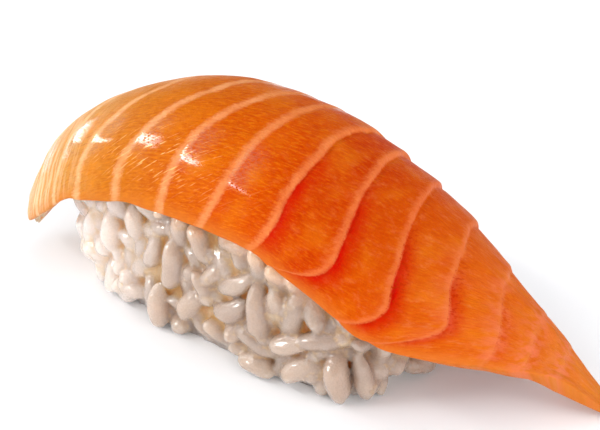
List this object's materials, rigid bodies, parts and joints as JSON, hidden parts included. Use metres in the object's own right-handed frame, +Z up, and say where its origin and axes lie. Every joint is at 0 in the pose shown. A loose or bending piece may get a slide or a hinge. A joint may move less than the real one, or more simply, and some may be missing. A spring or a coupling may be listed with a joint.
{
  "type": "salmon nigiri",
  "caption": "Nigiri sushi: a domed slice of striped raw salmon with a pointed tail, draped over a hand-pressed block of rice.",
  "frame": {"origin": "on the table, below the middle of the piece's bounding box", "axes": "+X along the slice towards its pointed tail, +Y towards the back, +Z up"},
  "size_m": [0.078, 0.0294, 0.0275],
  "materials": {
    "rice": null,
    "salmon": null
  },
  "bodies": {
    "root": {"rice": "rice", "salmon_slice": "salmon"}
  },
  "joints": []
}
